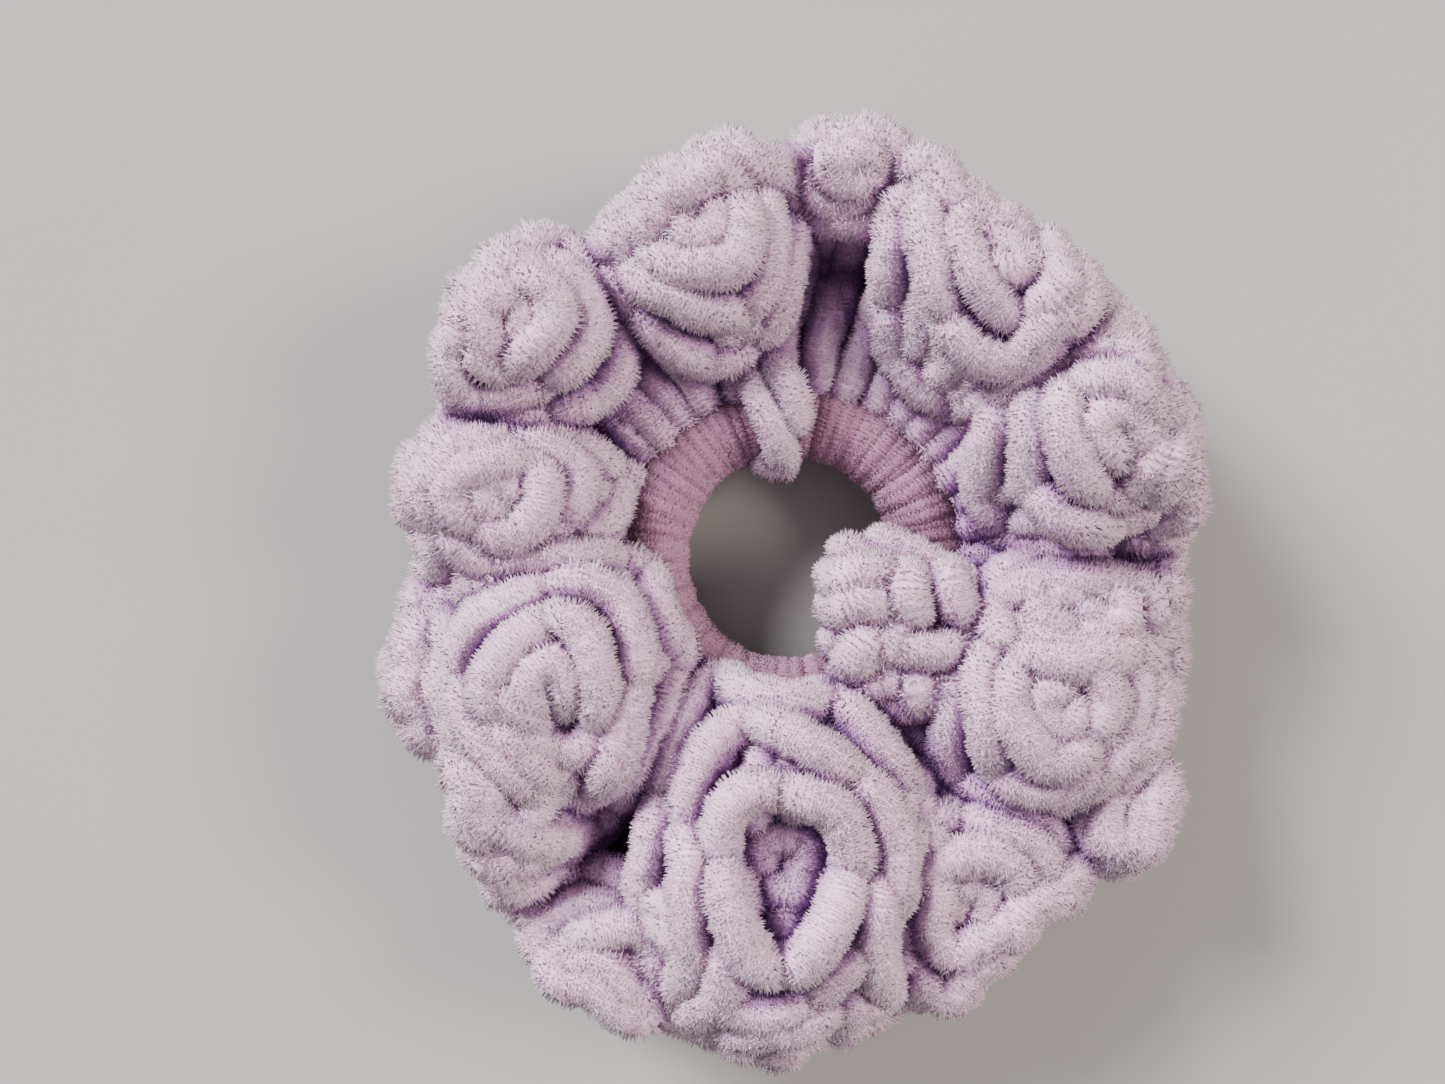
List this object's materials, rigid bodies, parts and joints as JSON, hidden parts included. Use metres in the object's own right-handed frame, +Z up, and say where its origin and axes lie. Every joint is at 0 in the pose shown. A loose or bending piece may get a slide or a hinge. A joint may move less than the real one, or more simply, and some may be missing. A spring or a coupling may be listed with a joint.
{
  "type": "scrunchie",
  "caption": "Soft ring-shaped hair tie: a sheathed elastic covered by a crocheted chenille collar that carries a full, folded ruffle, and stretches outwards.",
  "frame": {"origin": "on the table under the middle of the ruffle's outline, with the ring lying flat", "axes": "+Z up through the hole; +Y from the ring's centre towards the slip stitch that closes the foundation round, which is also the longest direction; +X to the right of that, seen from above"},
  "size_m": [0.136, 0.156, 0.046],
  "materials": {
    "foundation_yarn": "lilac chenille yarn, wrapped tightly",
    "ruffle_yarn": "lilac chenille yarn, deep pile",
    "edge_yarn": "lilac chenille yarn, deep pile with pale tips",
    "slip_stitch_yarn": "lilac chenille yarn",
    "knitted_sheath": "fine knitted textile",
    "latex": "matte",
    "bond": "satin glued joint"
  },
  "bodies": {
    "sector_06": {"collar_06": "foundation_yarn", "ruffle_06": "ruffle_yarn", "edge_06": "edge_yarn", "elastic_core": "latex", "elastic_sheath": "knitted_sheath", "elastic_joint": "bond"},
    "sector_05": {"collar_05": "foundation_yarn", "ruffle_05": "ruffle_yarn", "edge_05": "edge_yarn"},
    "sector_04": {"collar_04": "foundation_yarn", "ruffle_04": "ruffle_yarn", "edge_04": "edge_yarn", "inward_fold": "edge_yarn"},
    "sector_03": {"collar_03": "foundation_yarn", "ruffle_03": "ruffle_yarn", "edge_03": "edge_yarn"},
    "sector_02": {"collar_02": "foundation_yarn", "ruffle_02": "ruffle_yarn", "edge_02": "edge_yarn"},
    "sector_01": {"collar_01": "foundation_yarn", "ruffle_01": "ruffle_yarn", "edge_01": "edge_yarn"},
    "sector_12_right": {"collar_12_right": "foundation_yarn", "ruffle_12_right": "ruffle_yarn", "edge_12_right": "edge_yarn"},
    "sector_12_left": {"collar_12_left": "foundation_yarn", "ruffle_12_left": "ruffle_yarn", "edge_12_left": "edge_yarn", "slip_stitch": "slip_stitch_yarn"},
    "sector_11": {"collar_11": "foundation_yarn", "ruffle_11": "ruffle_yarn", "edge_11": "edge_yarn"},
    "sector_10": {"collar_10": "foundation_yarn", "ruffle_10": "ruffle_yarn", "edge_10": "edge_yarn"},
    "sector_09": {"collar_09": "foundation_yarn", "ruffle_09": "ruffle_yarn", "edge_09": "edge_yarn"},
    "sector_08": {"collar_08": "foundation_yarn", "ruffle_08": "ruffle_yarn", "edge_08": "edge_yarn"},
    "sector_07": {"collar_07": "foundation_yarn", "ruffle_07": "ruffle_yarn", "edge_07": "edge_yarn"}
  },
  "joints": [
    {"name": "stretch_05", "type": "slide", "parent": "sector_06", "child": "sector_05", "axis": [0.9659, 0.2588, 0], "range_m": [0, 0.01035], "stiffness_N_per_m": 600, "deforming": ["elastic_core", "elastic_sheath"]},
    {"name": "stretch_04", "type": "slide", "parent": "sector_05", "child": "sector_04", "axis": [0.7071, 0.7071, 0], "range_m": [0, 0.01035], "stiffness_N_per_m": 600},
    {"name": "stretch_03", "type": "slide", "parent": "sector_04", "child": "sector_03", "axis": [0.2588, 0.9659, 0], "range_m": [0, 0.01035], "stiffness_N_per_m": 600},
    {"name": "stretch_02", "type": "slide", "parent": "sector_03", "child": "sector_02", "axis": [-0.2588, 0.9659, 0], "range_m": [0, 0.01035], "stiffness_N_per_m": 600},
    {"name": "stretch_01", "type": "slide", "parent": "sector_02", "child": "sector_01", "axis": [-0.7071, 0.7071, 0], "range_m": [0, 0.01035], "stiffness_N_per_m": 600},
    {"name": "stretch_12_right", "type": "slide", "parent": "sector_01", "child": "sector_12_right", "axis": [-0.9659, 0.2588, 0], "range_m": [0, 0.01035], "stiffness_N_per_m": 600},
    {"name": "stretch_07", "type": "slide", "parent": "sector_06", "child": "sector_07", "axis": [-0.9659, 0.2588, 0], "range_m": [0, 0.01035], "stiffness_N_per_m": 600},
    {"name": "stretch_08", "type": "slide", "parent": "sector_07", "child": "sector_08", "axis": [-0.7071, 0.7071, 0], "range_m": [0, 0.01035], "stiffness_N_per_m": 600},
    {"name": "stretch_09", "type": "slide", "parent": "sector_08", "child": "sector_09", "axis": [-0.2588, 0.9659, 0], "range_m": [0, 0.01035], "stiffness_N_per_m": 600},
    {"name": "stretch_10", "type": "slide", "parent": "sector_09", "child": "sector_10", "axis": [0.2588, 0.9659, 0], "range_m": [0, 0.01035], "stiffness_N_per_m": 600},
    {"name": "stretch_11", "type": "slide", "parent": "sector_10", "child": "sector_11", "axis": [0.7071, 0.7071, 0], "range_m": [0, 0.01035], "stiffness_N_per_m": 600},
    {"name": "stretch_12_left", "type": "slide", "parent": "sector_11", "child": "sector_12_left", "axis": [0.9659, 0.2588, 0], "range_m": [0, 0.01035], "stiffness_N_per_m": 600}
  ],
  "couplings": [
    {"joint": "stretch_04", "follows": "stretch_05", "ratio": 1},
    {"joint": "stretch_03", "follows": "stretch_05", "ratio": 1},
    {"joint": "stretch_02", "follows": "stretch_05", "ratio": 1},
    {"joint": "stretch_01", "follows": "stretch_05", "ratio": 1},
    {"joint": "stretch_12_right", "follows": "stretch_05", "ratio": 1},
    {"joint": "stretch_07", "follows": "stretch_05", "ratio": 1},
    {"joint": "stretch_08", "follows": "stretch_05", "ratio": 1},
    {"joint": "stretch_09", "follows": "stretch_05", "ratio": 1},
    {"joint": "stretch_10", "follows": "stretch_05", "ratio": 1},
    {"joint": "stretch_11", "follows": "stretch_05", "ratio": 1},
    {"joint": "stretch_12_left", "follows": "stretch_05", "ratio": 1}
  ]
}
